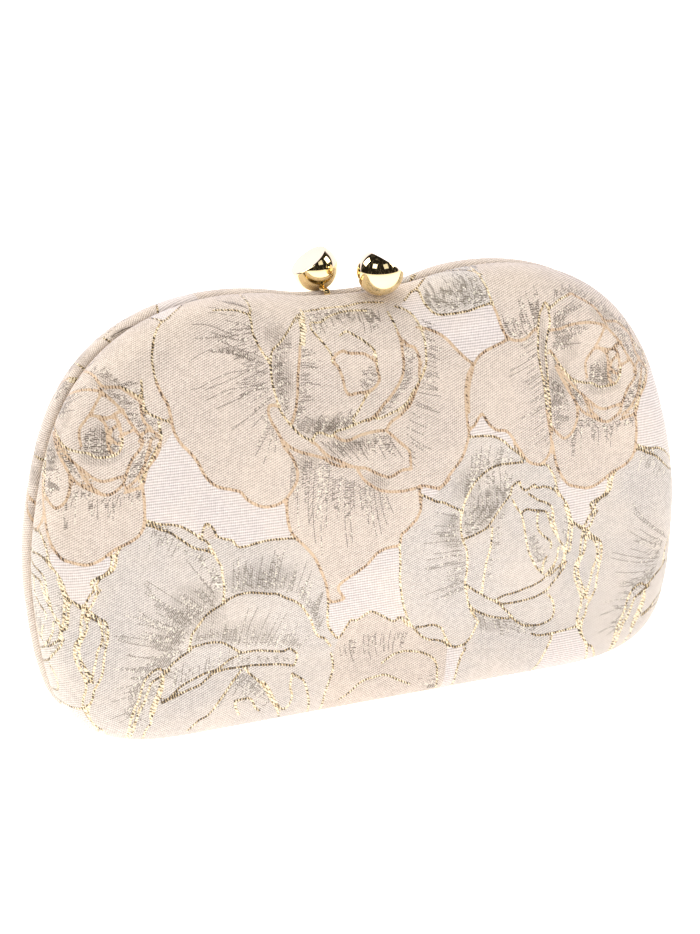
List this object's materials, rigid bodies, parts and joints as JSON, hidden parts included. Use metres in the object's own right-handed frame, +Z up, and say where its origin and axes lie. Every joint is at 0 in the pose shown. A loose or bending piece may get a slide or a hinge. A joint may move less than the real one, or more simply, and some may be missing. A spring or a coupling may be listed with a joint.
{
  "type": "evening bag",
  "caption": "Hard-shell evening bag in rose brocade: padded half shells hinged along the bottom seam, gold frames and a crossed ball-knob kiss lock.",
  "frame": {"origin": "middle of the flat bottom, at the seam between the halves", "axes": "+X along the bag to the right as seen from the front, +Y from the front half to the rear half, +Z up"},
  "size_m": [0.2046, 0.0472, 0.1345],
  "materials": {
    "brocade": "satin",
    "foam": "matte",
    "shell_board": "matte",
    "gold_hardware": "polished",
    "polished_gold": "polished",
    "lining_satin": "satin"
  },
  "bodies": {
    "rear_half": {"rear_cover": "brocade", "rear_padding": "foam", "rear_shell": "shell_board", "rear_frame": "gold_hardware", "rear_lining": "lining_satin", "left_hinge_rear_leaf": "gold_hardware", "left_hinge_pin": "gold_hardware", "right_hinge_rear_leaf": "gold_hardware", "right_hinge_pin": "gold_hardware", "right_latch_rivet_a": "gold_hardware", "right_latch_rivet_b": "gold_hardware", "left_gusset": "lining_satin", "right_gusset": "lining_satin"},
    "front_half": {"front_cover": "brocade", "front_padding": "foam", "front_shell": "shell_board", "front_frame": "gold_hardware", "front_lining": "lining_satin", "left_hinge_front_leaf": "gold_hardware", "right_hinge_front_leaf": "gold_hardware", "left_latch_rivet_a": "gold_hardware", "left_latch_rivet_b": "gold_hardware"},
    "left_latch": {"left_latch_arm": "gold_hardware", "left_knob": "polished_gold"},
    "right_latch": {"right_latch_arm": "gold_hardware", "right_knob": "polished_gold"}
  },
  "joints": [
    {"name": "front_opening", "type": "hinge", "parent": "rear_half", "child": "front_half", "pos_m": [0, 0, 0.00155], "axis": [1, 0, 0], "range_deg": [0, 60], "deforming": ["left_gusset", "right_gusset"]},
    {"name": "left_latch_flex", "type": "hinge", "parent": "front_half", "child": "left_latch", "pos_m": [-0.00785, -0.0008, 0.1165], "axis": [0, -1, 0], "range_deg": [0, 4], "stiffness_Nm_per_rad": 0.9},
    {"name": "right_latch_flex", "type": "hinge", "parent": "rear_half", "child": "right_latch", "pos_m": [0.00585, 0.0008, 0.1165], "axis": [0, 1, 0], "range_deg": [0, 4], "stiffness_Nm_per_rad": 0.9}
  ]
}
